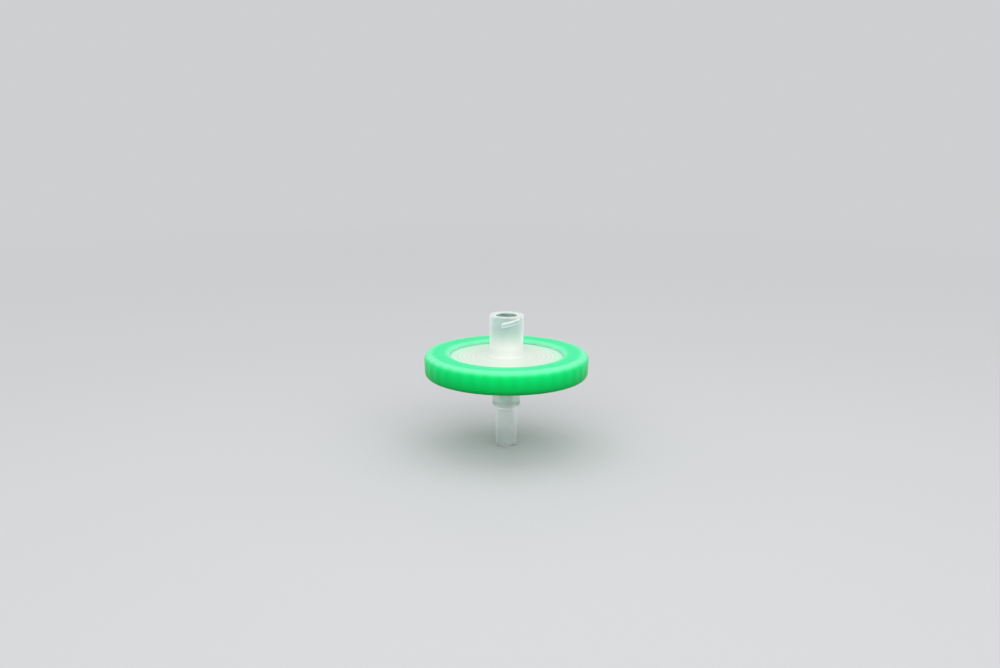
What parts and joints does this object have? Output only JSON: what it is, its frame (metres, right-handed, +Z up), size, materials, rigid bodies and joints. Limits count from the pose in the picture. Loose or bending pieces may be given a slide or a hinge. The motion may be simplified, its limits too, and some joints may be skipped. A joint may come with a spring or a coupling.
{
  "type": "syringe filter",
  "caption": "Disc syringe filter: membrane between translucent shells in a ribbed green ring, luer-lock inlet hub on top and tapered luer outlet tip below.",
  "frame": {"origin": "centre of the outlet tip's end face, on which the filter stands", "axes": "+Z up along the flow axis from outlet to inlet; -Y the front, where the thread lug of the hub shows"},
  "size_m": [0.0328, 0.033, 0.0271],
  "materials": {
    "natural_plastic": "natural translucent polypropylene, smooth moulded",
    "membrane": "white microporous membrane, matt",
    "green_plastic": "translucent green polypropylene, smooth moulded"
  },
  "bodies": {
    "root": {"outlet_housing": "natural_plastic", "filter_membrane": "membrane", "inlet_housing": "natural_plastic", "overmould_ring": "green_plastic"}
  },
  "joints": []
}
